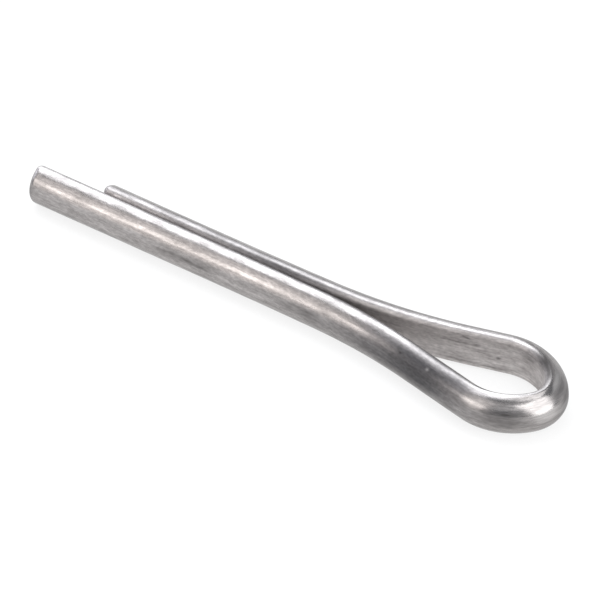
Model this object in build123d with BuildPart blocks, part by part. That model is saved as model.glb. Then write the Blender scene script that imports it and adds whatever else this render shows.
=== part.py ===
"""Cotter pin: one length of half-round wire folded flat to flat into a long eye, with one leg longer."""

import os
from math import cos, radians, sin, sqrt, tan

from build123d import *

# Wire: a round back, a flat face and a rounded corner along each edge of the flat
back_radius = 1.5
wire_thickness = 1.48
corner_radius = 0.39

# Legs: straight and almost touching, then bowed slowly apart towards the eye
closed_length = 12.3
opening_length = 8.45
opening_angle = 1.0
leg_step = 4.5
leg_gap = 0.02
end_rounding = 0.33

# Neck: each leg turns outwards along an arc, the short far leg a little more than the near one
neck_radius = 38.92
near_neck_angle = 11.95
far_neck_angle = 15.45

# Eye: its length runs from the end of the neck, and two wide side bends meet in one tight end bend
eye_length = 7.61
eye_side_radius = 3.35
eye_end_radius = 1.21

# Wire section, measured from the centre of the round back
flat_depth = back_radius - wire_thickness
half_chord = sqrt(back_radius**2 - flat_depth**2)
corner_height = sqrt((back_radius - corner_radius) ** 2 - (flat_depth + corner_radius) ** 2)
half_width = corner_height + corner_radius

# The pin lies on its side, so the path of the flat's centre line is half a wire width up
mid_plane = Plane.XY.offset(half_width)
neck_reach = neck_radius * (sin(radians(far_neck_angle)) - sin(radians(opening_angle)))
overall_length = closed_length + opening_length + neck_reach + eye_length
tip_x = -overall_length / 2
end_centre = Vector(overall_length / 2 - wire_thickness - eye_end_radius, 0)


def leg_points(side, neck_angle, setback):
    """Ends of the closed leg, the slow bow, the neck arc, the straight run and the side bend, from the tip on."""
    start, stop = radians(opening_angle), radians(neck_angle)
    along_run = Vector(cos(stop), side * sin(stop))
    inward = Vector(sin(stop), -side * cos(stop))
    tip = Vector(tip_x + setback, side * leg_gap / 2)
    leg_end = Vector(tip_x + closed_length, side * leg_gap / 2)
    bow_end = leg_end + Vector(1, side * tan(start / 2)) * opening_length
    neck_end = bow_end + Vector(sin(stop) - sin(start), side * (cos(start) - cos(stop))) * neck_radius
    # The side bend touches the straight run and wraps the end bend from outside
    run_depth = inward.dot(end_centre - neck_end)
    across = eye_side_radius - run_depth
    behind = sqrt((eye_side_radius - eye_end_radius) ** 2 - across**2)
    side_centre = end_centre + inward * across - along_run * behind
    run_end = side_centre - inward * eye_side_radius
    meeting = end_centre + (end_centre - side_centre).normalized() * eye_end_radius
    return [(point.X, point.Y) for point in (tip, leg_end, bow_end, neck_end, run_end, meeting)]


near_tip, near_leg_end, near_bow_end, near_neck_end, near_run_end, near_meeting = leg_points(
    -1, near_neck_angle, 0
)
far_tip, far_leg_end, far_bow_end, far_neck_end, far_run_end, far_meeting = leg_points(
    1, far_neck_angle, leg_step
)

with BuildPart() as cotter_pin:
    with BuildLine(mid_plane) as wire_path:
        near_leg = Line(near_tip, near_leg_end)
        near_bow = TangentArc(near_leg_end, near_bow_end, tangent=near_leg % 1)
        near_neck = TangentArc(near_bow_end, near_neck_end, tangent=near_bow % 1)
        near_run = Line(near_neck_end, near_run_end)
        near_bend = TangentArc(near_run_end, near_meeting, tangent=near_run % 1)
        end_bend = TangentArc(near_meeting, far_meeting, tangent=near_bend % 1)
        far_bend = TangentArc(far_meeting, far_run_end, tangent=end_bend % 1)
        far_run = Line(far_run_end, far_neck_end)
        far_neck = TangentArc(far_neck_end, far_bow_end, tangent=far_run % 1)
        far_bow = TangentArc(far_bow_end, far_leg_end, tangent=far_neck % 1)
        far_leg = Line(far_leg_end, far_tip)
    # Half-round section at the near tip, with its flat on the path and its back outwards
    heading = near_leg % 0
    section_plane = Plane(near_leg @ 0, x_dir=heading.cross(Vector(0, 0, 1)), z_dir=heading)
    with BuildSketch(section_plane) as wire_section:
        with BuildLine():
            back = ThreePointArc((0, -half_chord), (wire_thickness, 0), (0, half_chord))
            Line(back @ 1, back @ 0)
        make_face()
        fillet(wire_section.vertices(), corner_radius)
    sweep(path=wire_path.wires()[0])
    # The cut ends have their edges rolled over by the shear
    near_end = cotter_pin.faces().sort_by_distance(near_leg @ 0)[0]
    far_end = cotter_pin.faces().sort_by_distance(far_leg @ 1)[0]
    fillet(near_end.edges() + far_end.edges(), end_rounding)

cotter_pin.part.label = "cotter_pin"
os.makedirs("parts", exist_ok=True)
export_step(cotter_pin.part, "parts/cotter_pin.step")
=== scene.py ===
"""Cotter pin: the finished look of one length of drawn half-round steel wire, over its solid."""

from collections import namedtuple
from math import atan2, cos, exp, pi, radians, sin, sqrt, tan

import bpy
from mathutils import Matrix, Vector, noise


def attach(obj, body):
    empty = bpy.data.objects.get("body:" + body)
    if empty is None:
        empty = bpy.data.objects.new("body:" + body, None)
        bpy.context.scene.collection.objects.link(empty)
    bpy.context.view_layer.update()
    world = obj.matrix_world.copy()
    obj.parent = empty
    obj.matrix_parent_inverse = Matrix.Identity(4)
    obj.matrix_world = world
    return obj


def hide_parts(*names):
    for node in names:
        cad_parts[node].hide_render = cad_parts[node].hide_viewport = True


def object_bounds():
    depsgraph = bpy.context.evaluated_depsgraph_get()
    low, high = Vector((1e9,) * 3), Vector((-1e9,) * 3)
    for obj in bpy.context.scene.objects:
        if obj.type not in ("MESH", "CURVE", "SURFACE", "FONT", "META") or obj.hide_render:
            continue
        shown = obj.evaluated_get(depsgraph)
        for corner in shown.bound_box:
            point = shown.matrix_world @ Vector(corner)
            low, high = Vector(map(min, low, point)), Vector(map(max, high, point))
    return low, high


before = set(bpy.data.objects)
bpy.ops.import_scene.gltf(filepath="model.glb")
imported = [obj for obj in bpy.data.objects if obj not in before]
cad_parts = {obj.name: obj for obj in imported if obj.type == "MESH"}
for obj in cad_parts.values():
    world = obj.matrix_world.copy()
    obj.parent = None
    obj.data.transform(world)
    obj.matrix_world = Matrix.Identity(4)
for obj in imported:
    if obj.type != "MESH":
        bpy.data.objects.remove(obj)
cad_low, cad_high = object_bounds()

MM = 0.001

# Wire section, legs, necks and eye, the same as the solid's
BACK_RADIUS = 1.5 * MM
WIRE_THICKNESS = 1.48 * MM
CORNER_RADIUS = 0.39 * MM
CLOSED_LENGTH = 12.3 * MM
OPENING_LENGTH = 8.45 * MM
OPENING_ANGLE = radians(1.0)
LEG_STEP = 4.5 * MM
LEG_GAP = 0.02 * MM
END_ROUNDING = 0.33 * MM
NECK_RADIUS = 38.92 * MM
NEAR_NECK_ANGLE = radians(11.95)
FAR_NECK_ANGLE = radians(15.45)
EYE_LENGTH = 7.61 * MM
EYE_SIDE_RADIUS = 3.35 * MM
EYE_END_RADIUS = 1.21 * MM

FLAT_DEPTH = BACK_RADIUS - WIRE_THICKNESS
MID_HEIGHT = cad_high.z / 2
NECK_REACH = NECK_RADIUS * (sin(FAR_NECK_ANGLE) - sin(OPENING_ANGLE))
OVERALL_LENGTH = CLOSED_LENGTH + OPENING_LENGTH + NECK_REACH + EYE_LENGTH
TIP_X = -OVERALL_LENGTH / 2
END_CENTRE = Vector((OVERALL_LENGTH / 2 - WIRE_THICKNESS - EYE_END_RADIUS, 0))

# Fineness of the wire's mesh. The cap rings are shares of the cut end's outline.
STATION_STEP = 0.09 * MM
BACK_POINTS = 46
CORNER_POINTS = 12
FLAT_POINTS = 28
ROUNDING_RINGS = 7
CAP_RINGS = (0.82, 0.62, 0.42, 0.22)

# Slight unevenness of the drawn surface: the depth of its hollows, and their length and width
HOLLOW_DEPTH = 0.009 * MM
HOLLOW_LENGTH = 1.2 * MM
HOLLOW_WIDTH = 0.32 * MM

# Marks on the round back, in millimetres and degrees: place along the wire from the long tip, angle
# up from the side, half length, half width, depth, and how dark the mark is. Besides real pits and
# scuffs, some dark marks are painted shade, and the bright ones, with a negative darkness, are
# painted highlights.
BACK_MARKS = (
    (2.60, 8, 0.70, 0.10, 0.002, 0.25),
    (5.40, 14, 0.90, 0.12, 0.002, 0.22),
    (9.70, 7, 0.50, 0.11, 0.003, 0.35),
    (10.60, 9, 0.45, 0.10, 0.003, 0.32),
    (11.60, 8, 0.55, 0.11, 0.003, 0.45),
    (12.10, 10, 1.90, 0.45, 0.000, 0.22),
    (12.70, 5, 0.70, 0.12, 0.003, 0.50),
    (15.80, 12, 0.60, 0.10, 0.002, 0.25),
    (20.20, 10, 1.60, 0.45, 0.000, 0.24),
    (20.60, 16, 0.60, 0.13, 0.004, 0.35),
    (27.90, 41, 0.11, 0.08, 0.006, 0.80),
    # Painted highlights on the near arm: a glint, a brighter streak and its inner rim
    (30.18, 44, 0.10, 0.09, 0.004, -0.30),
    (33.65, 39, 0.60, 0.30, 0.000, -0.15),
    (34.60, 80, 1.80, 0.18, 0.000, -0.60),
    # Painted shade low on the eye's front
    (35.50, 5, 1.10, 0.55, 0.000, 0.55),
    (35.50, 27, 0.28, 0.06, 0.008, 0.75),
    # Painted highlights on the end bend's front and on its bright spot
    (37.10, 14, 0.50, 0.50, 0.000, -0.40),
    (38.30, 58, 0.90, 0.22, 0.000, -0.40),
    # Painted shade along the inner rim of the end bend, where it would shine
    (38.60, 79, 0.75, 0.20, 0.003, 0.75),
    (39.80, 76, 0.90, 0.26, 0.003, 0.85),
)
# Marks on the flat face: place along the wire, height above its centre line, then the same as above
FLAT_MARKS = (
    # A painted highlight along the near arm's inner edge
    (33.80, 1.33, 1.80, 0.20, 0.000, -0.80),
    (39.90, 1.25, 0.80, 0.25, 0.004, 0.50),
    (41.00, 0.85, 0.60, 0.35, 0.004, 0.40),
    (42.20, -0.55, 0.30, 0.25, 0.003, -0.20),
    (43.15, -0.12, 0.17, 0.11, 0.020, 0.60),
    (43.70, -0.98, 0.90, 0.05, 0.004, 0.40),
    (44.58, 0.54, 0.18, 0.12, 0.015, 0.40),
    (45.15, 0.95, 0.20, 0.08, 0.012, 0.55),
    (45.40, 1.05, 0.14, 0.09, 0.012, 0.45),
    (45.80, -0.92, 1.60, 0.06, 0.006, 0.45),
    (46.00, 0.50, 1.20, 0.05, 0.006, 0.35),
)
# A mark has faded out at this many half lengths from its middle
MARK_REACH = 3
Mark = namedtuple("Mark", "along out up half_length half_width depth darkness")

# Painted shade on the round back, in millimetres along the wire from the long tip: the middle of
# each patch, how far it reaches towards that tip, how far the other way, and how dark it is
PAINTED_SHADE_PATCHES = (
    (0.0, 0.4, 0.4, 0.45),
    (30.0, 8.0, 3.5, 0.95),
    (38.2, 0.7, 1.1, 0.60),
    (45.8, 4.5, 9.5, 0.60),
)
# In millimetres, the painted shade starts at the first distance out from the flat and is whole at
# the second
PAINTED_SHADE_OUT = (0.45, 0.95)
# On the near leg most of it is lifted off the upper back, more and more from the first height to
# the second. The lifting ends at the first place along the wire and is whole before the second.
UPPER_LIFT_HEIGHT = (0.6, 0.95)
UPPER_LIFT_END = (28.0, 24.0)
UPPER_LIFT_MOST = 0.8
# Low on the back it is made lighter everywhere, more and more from the first height to the second
LOWER_LIFT_HEIGHT = (0.1, -0.5)
LOWER_LIFT_MOST = 0.5
# Painted shade on the rounded edges of the flat, along the groove between the legs and on the near
# arm, and over part of the far leg's highlight: the same as for the back, then how far out from the
# flat it lies and how far it reaches across
EDGE_SHADE_PATCHES = (
    (20.0, 9.0, 6.0, 0.50, 0.20, 0.15),
    (30.6, 2.2, 2.2, 0.60, 0.36, 0.18),
    (32.6, 1.2, 1.2, 0.40, 0.68, 0.20),
    (57.0, 4.0, 9.0, 0.80, 0.12, 0.13),
    (62.0, 10.0, 14.0, 0.30, 0.38, 0.16),
)

# Patterns of the steel: length along the wire, width across it, and levels of finer detail. Real
# die lines are about 0.02 mm apart; these are drawn five times as coarse so that they show.
CLOUDS = (1.5 * MM, 0.42 * MM, 4)
DIE_LINES = (7 * MM, 0.1 * MM, 3)
SPECKLE = (0.32 * MM, 0.13 * MM, 2)
DIE_LINE_DEPTH = 0.0015 * MM
# What the patterns and the distance out from the flat give: the range that is read, then what its
# two ends become. The flat is painted brighter than the drawn back, as painted light, and is
# duller.
LINE_SHADE = (0.3, 0.7, 0.86, 1.06)
SPECKLE_SHADE = (0.3, 0.7, 0.80, 1.14)
FLAT_PAINTED_LIGHT = (0.02 * MM, 0.2 * MM, 1.3, 1.0)
CLOUD_ROUGHNESS = (0.3, 0.7, 0.29, 0.19)
FLAT_ROUGHNESS = (0.03 * MM, 0.3 * MM, 0.34, 0.0)
# Roughness that whole painted shade and the darkest stain add. A painted highlight takes some away.
PAINTED_SHADE_ROUGHNESS = 0.18
STAIN_AND_LIGHT_ROUGHNESS = 0.3
CLOUD_COLOURS = ((0.32, "#9A9695"), (0.68, "#B2AEAD"))
PAINTED_SHADE_COLOUR = "#4E4D4F"
STAIN_AND_SHADE_COLOUR = "#2E2C2B"
PAINTED_HIGHLIGHT_COLOUR = "#E4E2E0"
GLANCING_COLOUR = "#EEEEEE"

# Colour sockets of a Mix node, which can't be told by name from its other sockets
MIX_FIRST, MIX_SECOND, MIX_RESULT = 6, 7, 2

# Photograph: a 600 pixel square, taken from the long leg's side and from above. It shows next to no
# perspective, so the lens is a very long one.
PHOTO_SIDE = 600
PHOTO_PIXELS_PER_MM = 16.382
PHOTO_TIP_PIXEL = (40.90, 178.80)
CAMERA_AZIMUTH = radians(33.81)
CAMERA_ELEVATION = radians(41.77)
CAMERA_LENS = 1400
CAMERA_SENSOR = 36
CAMERA_CLIP_RATIO = 10
CAMERA_RIGHT = Vector((cos(CAMERA_AZIMUTH), sin(CAMERA_AZIMUTH), 0))
CAMERA_AWAY = Vector((-sin(CAMERA_AZIMUTH), cos(CAMERA_AZIMUTH), 0))

# Floor and room. The floor's own white is the share of it that no shadow darkens.
FLOOR_SIDE = 1.2
FLOOR_COLOUR = "#F0F0F0"
FLOOR_OWN_WHITE = 0.8
ROOM_COLOUR = "#F4F8FF"
ROOM_STRENGTH = 0.25
# Boxes that hang level over the pin, square to the camera: how far behind the pin and to the right
# of it they lie, as shares of their height, then width and length in metres, radiance and colour
OVERHEAD_HEIGHT = 0.45
OVERHEAD_BOXES = {
    "overhead_softbox": (0.605, -0.3, 0.35, 0.585, 3.5, "#F8FBFF"),
    "overhead_fill": (0.1, 0.31, 0.2, 0.34, 2.0, "#FFFFFF"),
}
# Panels that face the pin: azimuth, elevation, and the width and height that they fill as seen from
# it, all in degrees, then radiance and colour
PANEL_DISTANCE = 0.5
PANELS = {
    "back_panel": (-132, 20, 44, 38, 2.0, "#F8FBFF"),
    "right_softbox": (83, 31, 54, 62, 2.75, "#FFFFFF"),
    "left_panel": (-24, 27, 32, 54, 1.15, "#FFF9F5"),
    "left_strip": (-26, 23, 36, 14, 1.9, "#FFFBF7"),
    "side_panel": (-88, 22, 54, 44, 1.6, "#F4F6FF"),
    "rear_panel": (160, 20, 80, 40, 0.45, "#FFFFFF"),
    "front_panel": (12, 45, 56, 36, 0.5, "#FFFFFF"),
    "upper_left_fill": (-50, 60, 44, 18, 0.35, "#FFFBF7"),
}


def linear(colour):
    """Linear RGBA of an sRGB hex colour."""
    channels = [int(colour[i : i + 2], 16) / 255 for i in (1, 3, 5)]
    return [c / 12.92 if c <= 0.04045 else ((c + 0.055) / 1.055) ** 2.4 for c in channels] + [1.0]


def add_node(tree, kind, inputs=(), **settings):
    """Adds a node with its settings. Inputs come in the order of the sockets, or by socket in a
    dict. Each is a plain value, or another node's output to link."""
    node = tree.nodes.new(kind)
    for name, value in settings.items():
        setattr(node, name, value)
    for socket, value in inputs.items() if isinstance(inputs, dict) else enumerate(inputs):
        if isinstance(value, bpy.types.NodeSocket):
            tree.links.new(value, node.inputs[socket])
        else:
            node.inputs[socket].default_value = value
    return node


def half_run(neck_angle):
    """Lengths and turns of half the wire from a tip to the end bend, and the angle where that bend
    starts."""
    along = Vector((cos(neck_angle), sin(neck_angle)))
    inward = Vector((sin(neck_angle), -cos(neck_angle)))
    leg_end = Vector((TIP_X + CLOSED_LENGTH, LEG_GAP / 2))
    bow_end = leg_end + OPENING_LENGTH * Vector((1, tan(OPENING_ANGLE / 2)))
    rise = Vector((sin(neck_angle) - sin(OPENING_ANGLE), cos(OPENING_ANGLE) - cos(neck_angle)))
    neck_end = bow_end + NECK_RADIUS * rise
    across = EYE_SIDE_RADIUS - inward.dot(END_CENTRE - neck_end)
    behind = sqrt((EYE_SIDE_RADIUS - EYE_END_RADIUS) ** 2 - across**2)
    side_centre = END_CENTRE + inward * across - along * behind
    run_end = side_centre - inward * EYE_SIDE_RADIUS
    meeting = END_CENTRE - side_centre
    meeting_angle = atan2(meeting.y, meeting.x)
    neck_turn = neck_angle - OPENING_ANGLE
    bend_turn = pi / 2 + neck_angle - meeting_angle
    stretches = [
        (CLOSED_LENGTH, 0),
        (OPENING_LENGTH * OPENING_ANGLE / sin(OPENING_ANGLE), -OPENING_ANGLE),
        (NECK_RADIUS * neck_turn, -neck_turn),
        ((run_end - neck_end).length, 0),
        (EYE_SIDE_RADIUS * bend_turn, bend_turn),
    ]
    return stretches, meeting_angle


def travel(place, heading, length, turn, distance):
    """Place and heading after a distance along a straight or evenly turning stretch."""
    if not turn:
        return place + distance * Vector((cos(heading), sin(heading))), heading
    radius = length / turn
    now = heading + distance / radius
    return place + radius * Vector((sin(now) - sin(heading), cos(heading) - cos(now))), now


def wire_run():
    """Each stretch of the wire from the long tip, as its start along the wire, place, heading,
    length and turn, and the length of the whole wire."""
    near, near_meeting = half_run(NEAR_NECK_ANGLE)
    far, far_meeting = half_run(FAR_NECK_ANGLE)
    far[0] = (CLOSED_LENGTH - LEG_STEP, 0)
    end_turn = near_meeting + far_meeting
    start, place, heading = 0.0, Vector((TIP_X, -LEG_GAP / 2)), 0.0
    run = []
    for length, turn in near + [(EYE_END_RADIUS * end_turn, end_turn)] + far[::-1]:
        run.append((start, place, heading, length, turn))
        place, heading = travel(place, heading, length, turn, length)
        start += length
    return run, start


def wire_section(inset):
    """Outline of the wire drawn in by an inset, as out, up and normal, from the lower rim round the
    back."""
    back = BACK_RADIUS - inset
    corner = CORNER_RADIUS - inset
    corner_out = FLAT_DEPTH + inset + corner
    corner_up = sqrt((back - corner) ** 2 - corner_out**2)
    rim = atan2(corner_up, corner_out)
    outline = []
    for out, up, radius, start, stop, count in (
        (0, 0, back, -rim, rim, BACK_POINTS),
        (corner_out, corner_up, corner, rim, pi, CORNER_POINTS),
        (FLAT_DEPTH + inset, 0, 0, corner_up, -corner_up, FLAT_POINTS),
        (corner_out, -corner_up, corner, pi, 2 * pi - rim, CORNER_POINTS),
    ):
        for i in range(count):
            step = start + (stop - start) * i / count
            if radius:
                normal = (cos(step), sin(step))
                place = (out + radius * normal[0] - FLAT_DEPTH, up + radius * normal[1])
            else:
                normal = (-1.0, 0.0)
                place = (out - FLAT_DEPTH, up + step)
            outline.append((*place, *normal))
    return outline


def wire_rings(total):
    """Distance along the wire and inset of every ring, with the rolled edge of each cut end."""
    angles = [pi / 2 * i / ROUNDING_RINGS for i in range(ROUNDING_RINGS)]
    rounding = [(END_ROUNDING * (1 - cos(a)), END_ROUNDING * (1 - sin(a))) for a in angles]
    between = total - 2 * END_ROUNDING
    steps = round(between / STATION_STEP)
    middle = [(END_ROUNDING + between * i / steps, 0.0) for i in range(steps + 1)]
    return rounding + middle + [(total - distance, inset) for distance, inset in rounding[::-1]]


def marks():
    """Every pit and scuff, and each mark of painted shade and painted highlight, in metres, at its
    place on the straight wire.
    """
    placed = []
    for along, angle, *size, darkness in BACK_MARKS:
        out = BACK_RADIUS * cos(radians(angle)) - FLAT_DEPTH
        up = BACK_RADIUS * sin(radians(angle))
        placed.append(Mark(along * MM, out, up, *(s * MM for s in size), darkness))
    for along, up, *size, darkness in FLAT_MARKS:
        placed.append(Mark(along * MM, 0.0, up * MM, *(s * MM for s in size), darkness))
    return placed


def wear(distance, out, up, nearby):
    """How deep the surface lies under the clean wire at a place, and how dark its stains and
    painted shade make it. Painted highlights count as a negative darkness.
    """
    spot = Vector((distance / HOLLOW_LENGTH, out / HOLLOW_WIDTH, up / HOLLOW_WIDTH))
    depth = HOLLOW_DEPTH * (1 + noise.noise(spot)) / 2
    stain_and_light = 0.0
    for mark in nearby:
        aside = ((out - mark.out) ** 2 + (up - mark.up) ** 2) / mark.half_width**2
        strength = exp(-(((distance - mark.along) / mark.half_length) ** 2) - aside)
        depth += strength * mark.depth
        stain_and_light += strength * mark.darkness
    return depth, stain_and_light


def share(value, start, stop):
    """How far a value has come from start to stop, from 0 to 1."""
    return min(1.0, max(0.0, (value - start) / (stop - start)))


def patched(along, patches):
    """Darkness of all the painted shade patches together at a place along the wire, in millimetres.
    """
    darkness = 0.0
    for middle, before, after, peak in patches:
        offset = along - middle
        darkness += peak * exp(-((offset / (before if offset < 0 else after)) ** 2))
    return darkness


def painted_shade(distance, out, up):
    """Darkness of the painted shade at a place on the wire."""
    along, out, up = distance / MM, out / MM, up / MM
    # The painted shade is lifted on the near leg's upper back and, partly, low on the back
    lightened = UPPER_LIFT_MOST * share(up, *UPPER_LIFT_HEIGHT) * share(along, *UPPER_LIFT_END)
    lower_lift = LOWER_LIFT_MOST * share(up, *LOWER_LIFT_HEIGHT)
    darkness = (1 - lightened - lower_lift) * share(out, *PAINTED_SHADE_OUT) * patched(along, PAINTED_SHADE_PATCHES)
    # Painted shade in the groove between the legs, on the near arm and over the far leg's highlight
    for *patch, edge_out, reach in EDGE_SHADE_PATCHES:
        darkness += patched(along, [patch]) * exp(-(((out - edge_out) / reach) ** 2))
    return darkness


def band(first, second):
    """Faces of the band between two rings of points."""
    count = len(first)
    neighbours = [(i, (i + 1) % count) for i in range(count)]
    return [(first[i], second[i], second[j], first[j]) for i, j in neighbours]


def bent_wire():
    """Mesh of the whole pin. Each point keeps its place on the straight wire, so that patterns
    follow the bends."""
    run, total = wire_run()
    points, straight, painted_shades, stains_and_light = [], [], [], []

    def add_point(distance, out, up, stain_and_light=0.0):
        """Adds a point of the straight wire, bent into place, and gives its number."""
        start, place, heading, length, turn = [s for s in run if s[0] <= distance][-1]
        place, heading = travel(place, heading, length, turn, distance - start)
        side = place + out * Vector((sin(heading), -cos(heading)))
        points.append((side.x, side.y, MID_HEIGHT + up))
        straight.append((distance, out, up))
        # Each point carries its painted shade
        painted_shades.append(painted_shade(distance, out, up))
        stains_and_light.append(stain_and_light)
        return len(points) - 1

    placed = marks()
    rings = []
    for distance, inset in wire_rings(total):
        nearby = [m for m in placed if abs(distance - m.along) < MARK_REACH * m.half_length]
        ring = []
        for out, up, normal_out, normal_up in wire_section(inset):
            depth, stain_and_light = wear(distance, out, up, nearby)
            worn_out, worn_up = out - normal_out * depth, up - normal_up * depth
            ring.append(add_point(distance, worn_out, worn_up, stain_and_light))
        rings.append(ring)
    faces = [face for pair in zip(rings, rings[1:]) for face in band(*pair)]
    # Each cut end is closed by smaller and smaller rings and a fan of triangles
    for ring, distance, turned in ((rings[0], 0.0, True), (rings[-1], total, False)):
        rim = [straight[i][1:] for i in ring]
        core = [sum(values) / len(rim) for values in zip(*rim)]
        cap = []
        for size in CAP_RINGS:
            places = [[c + size * (v - c) for v, c in zip(place, core)] for place in rim]
            inner = [add_point(distance, *place) for place in places]
            cap += band(ring, inner)
            ring = inner
        centre = add_point(distance, *core)
        cap += [(centre, second, first) for first, second in zip(ring, ring[1:] + ring[:1])]
        faces += [face[::-1] for face in cap] if turned else cap
    mesh = bpy.data.meshes.new("bent_wire")
    mesh.from_pydata(points, [], faces)
    mesh.shade_smooth()
    places = mesh.attributes.new("straight", "FLOAT_VECTOR", "POINT")
    places.data.foreach_set("vector", [v for place in straight for v in place])
    for name, values in (("painted_shade", painted_shades), ("stain_and_light", stains_and_light)):
        mesh.attributes.new(name, "FLOAT", "POINT").data.foreach_set("value", values)
    return mesh


def drawn_steel():
    """Low-carbon steel drawn and rolled half-round: satin grey metal with fine lines along the
    wire, cloudy patches and dark pits, with painted shade on the bends and edges, a flat painted
    brighter and painted highlights."""
    material = bpy.data.materials.new("drawn_steel")
    material.use_nodes = True
    tree = material.node_tree
    tree.nodes.clear()
    place = add_node(tree, "ShaderNodeAttribute", attribute_name="straight").outputs["Vector"]
    out = add_node(tree, "ShaderNodeSeparateXYZ", (place,)).outputs["Y"]
    painted_shade_share = add_node(tree, "ShaderNodeAttribute", attribute_name="painted_shade").outputs["Fac"]
    stain_and_light = add_node(tree, "ShaderNodeAttribute", attribute_name="stain_and_light").outputs["Fac"]

    def streaks(length, width, detail):
        """Noise as long and as wide as given, lying along the wire."""
        scale = (1 / length, 1 / width, 1 / width)
        stretched = add_node(tree, "ShaderNodeVectorMath", (place, scale), operation="MULTIPLY")
        inputs = {"Vector": stretched.outputs[0], "Scale": 1.0, "Detail": detail}
        return add_node(tree, "ShaderNodeTexNoise", inputs).outputs["Fac"]

    clouds = streaks(*CLOUDS)
    die_lines = streaks(*DIE_LINES)
    speckle = streaks(*SPECKLE)

    # Colour: clouds under the painted shade, both shaded by lines and speckle and the flat's
    # painted brightening, then stains, painted shade marks and painted highlights on top
    clouded = add_node(tree, "ShaderNodeValToRGB", (clouds,))
    for stop, (position, colour) in zip(clouded.color_ramp.elements, CLOUD_COLOURS):
        stop.position = position
        stop.color = linear(colour)
    # Painted shade: its dark colour mixed over the clouds
    inputs = {0: painted_shade_share, MIX_FIRST: clouded.outputs[0], MIX_SECOND: linear(PAINTED_SHADE_COLOUR)}
    with_painted_shade = add_node(tree, "ShaderNodeMix", inputs, data_type="RGBA").outputs[MIX_RESULT]
    lined = add_node(tree, "ShaderNodeMapRange", (die_lines, *LINE_SHADE)).outputs[0]
    grain = add_node(tree, "ShaderNodeMapRange", (speckle, *SPECKLE_SHADE)).outputs[0]
    # The flat's colour is painted brighter, as painted light
    flat_brightening = add_node(tree, "ShaderNodeMapRange", (out, *FLAT_PAINTED_LIGHT)).outputs[0]
    textured = add_node(tree, "ShaderNodeMath", (lined, grain), operation="MULTIPLY").outputs[0]
    shade = add_node(tree, "ShaderNodeMath", (textured, flat_brightening), operation="MULTIPLY").outputs[0]
    base = add_node(tree, "ShaderNodeVectorMath", (with_painted_shade, shade), operation="MULTIPLY").outputs[0]
    # Stains and marks of painted shade darken the colour
    inputs = {0: stain_and_light, MIX_FIRST: base, MIX_SECOND: linear(STAIN_AND_SHADE_COLOUR)}
    marked_colour = add_node(tree, "ShaderNodeMix", inputs, data_type="RGBA").outputs[MIX_RESULT]
    # Marks with a negative darkness are painted highlights, mixed towards near white
    painted_highlight = add_node(tree, "ShaderNodeMath", (stain_and_light, -1.0), operation="MULTIPLY").outputs[0]
    inputs = {0: painted_highlight, MIX_FIRST: marked_colour, MIX_SECOND: linear(PAINTED_HIGHLIGHT_COLOUR)}
    lightened = add_node(tree, "ShaderNodeMix", inputs, data_type="RGBA").outputs[MIX_RESULT]

    # Roughness: satin, with a duller flat, and hazier under the painted shade and in the pits
    satin = add_node(tree, "ShaderNodeMapRange", (clouds, *CLOUD_ROUGHNESS)).outputs[0]
    dull = add_node(tree, "ShaderNodeMapRange", (out, *FLAT_ROUGHNESS)).outputs[0]
    rough = add_node(tree, "ShaderNodeMath", (satin, dull), operation="ADD").outputs[0]
    for amount, added in ((painted_shade_share, PAINTED_SHADE_ROUGHNESS), (stain_and_light, STAIN_AND_LIGHT_ROUGHNESS)):
        inputs = (amount, added, rough)
        rough = add_node(tree, "ShaderNodeMath", inputs, operation="MULTIPLY_ADD").outputs[0]

    inputs = {"Strength": 1.0, "Distance": DIE_LINE_DEPTH, "Height": die_lines}
    bump = add_node(tree, "ShaderNodeBump", inputs)
    inputs = {
        "Base Color": lightened,
        "Metallic": 1.0,
        "Roughness": rough,
        "Specular Tint": linear(GLANCING_COLOUR),
        "Normal": bump.outputs["Normal"],
    }
    shader = add_node(tree, "ShaderNodeBsdfPrincipled", inputs)
    add_node(tree, "ShaderNodeOutputMaterial", {"Surface": shader.outputs["BSDF"]})
    return material


def white_paper():
    """Matt white paper under the pin. Most of its white is its own, so the pin's shadow on it stays
    faint."""
    material = bpy.data.materials.new("white_paper")
    material.use_nodes = True
    tree = material.node_tree
    tree.nodes.clear()
    rays = add_node(tree, "ShaderNodeLightPath").outputs
    seen = rays["Is Camera Ray"]
    for ray in ("Is Glossy Ray", "Is Transmission Ray"):
        seen = add_node(tree, "ShaderNodeMath", (seen, rays[ray]), operation="ADD").outputs[0]
    own = add_node(tree, "ShaderNodeMath", (seen, FLOOR_OWN_WHITE), operation="MULTIPLY")
    matt = add_node(tree, "ShaderNodeBsdfDiffuse", {"Color": linear(FLOOR_COLOUR)})
    white = add_node(tree, "ShaderNodeEmission", {"Color": linear("#FFFFFF"), "Strength": 1.0})
    inputs = (own.outputs[0], matt.outputs[0], white.outputs[0])
    mixed = add_node(tree, "ShaderNodeMixShader", inputs)
    add_node(tree, "ShaderNodeOutputMaterial", {"Surface": mixed.outputs[0]})
    return material


def direction(azimuth, elevation):
    """Unit vector from the pin towards a place round it. Azimuth 0 is the long leg's side."""
    level = cos(elevation)
    return Vector((sin(azimuth) * level, -cos(azimuth) * level, sin(elevation)))


def softbox(name, place, turn, tilt, width, height, radiance, colour):
    """A soft light at a place, turned to an azimuth and tilted down from an elevation, with its
    size in metres."""
    light = bpy.data.lights.new(name, "AREA")
    light.shape = "RECTANGLE"
    light.size, light.size_y = width, height
    light.energy = radiance * pi * width * height
    light.color = linear(colour)[:3]
    lamp = bpy.data.objects.new(name, light)
    lamp.location = place
    lamp.rotation_euler = (pi / 2 - tilt, 0, turn)
    lamp.visible_camera = False
    bpy.context.scene.collection.objects.link(lamp)


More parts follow.
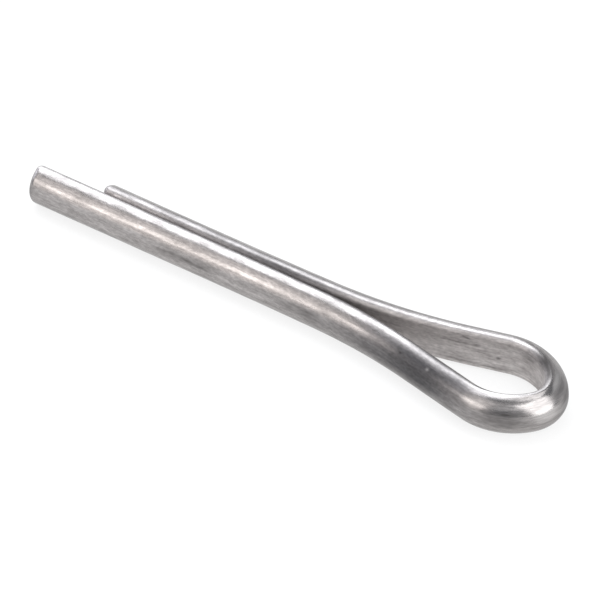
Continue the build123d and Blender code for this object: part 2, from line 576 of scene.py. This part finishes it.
def studio():
    """Pale floor, grey room and soft lights."""
    half = FLOOR_SIDE / 2
    corners = [(-half, -half, 0), (half, -half, 0), (half, half, 0), (-half, half, 0)]
    mesh = bpy.data.meshes.new("floor")
    mesh.from_pydata(corners, [], [(0, 1, 2, 3)])
    mesh.materials.append(white_paper())
    floor = bpy.data.objects.new("floor", mesh)
    bpy.context.scene.collection.objects.link(floor)
    world = bpy.data.worlds.new("grey_room")
    world.use_nodes = True
    room = world.node_tree.nodes["Background"].inputs
    room["Color"].default_value = linear(ROOM_COLOUR)
    room["Strength"].default_value = ROOM_STRENGTH
    bpy.context.scene.world = world
    for name, (away, right, *lamp) in OVERHEAD_BOXES.items():
        place = OVERHEAD_HEIGHT * (away * CAMERA_AWAY + right * CAMERA_RIGHT + Vector((0, 0, 1)))
        softbox(name, place, CAMERA_AZIMUTH, pi / 2, *lamp)
    for name, (azimuth, elevation, width, height, *glow) in PANELS.items():
        turn, tilt = radians(azimuth), radians(elevation)
        sides = [2 * PANEL_DISTANCE * tan(radians(angle) / 2) for angle in (width, height)]
        softbox(name, PANEL_DISTANCE * direction(turn, tilt), turn, tilt, *sides, *glow)


def photo_camera():
    """Camera at the photograph's angle, with the long leg's tip on its pixel."""
    data = bpy.data.cameras.new("photo_camera")
    data.lens = CAMERA_LENS
    data.sensor_width = CAMERA_SENSOR
    camera = bpy.data.objects.new("photo_camera", data)
    back = direction(CAMERA_AZIMUTH, CAMERA_ELEVATION)
    up = back.cross(CAMERA_RIGHT)
    pixel = MM / PHOTO_PIXELS_PER_MM
    tip = Vector((TIP_X, 0, MID_HEIGHT))
    across, down = (PHOTO_SIDE / 2 - place for place in PHOTO_TIP_PIXEL)
    target = tip + pixel * (across * CAMERA_RIGHT - down * up)
    distance = PHOTO_SIDE * pixel * CAMERA_LENS / CAMERA_SENSOR
    camera.location = target + back * distance
    camera.rotation_euler = back.to_track_quat("Z", "Y").to_euler()
    data.clip_start = distance / CAMERA_CLIP_RATIO
    data.clip_end = distance * CAMERA_CLIP_RATIO
    bpy.context.scene.collection.objects.link(camera)
    bpy.context.scene.camera = camera


pin = bpy.data.objects.new("cotter_pin_wire", bent_wire())
bpy.context.scene.collection.objects.link(pin)
pin.data.materials.append(drawn_steel())
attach(pin, "root")
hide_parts("cotter_pin")

studio()
photo_camera()
bpy.context.scene.view_settings.view_transform = "Standard"
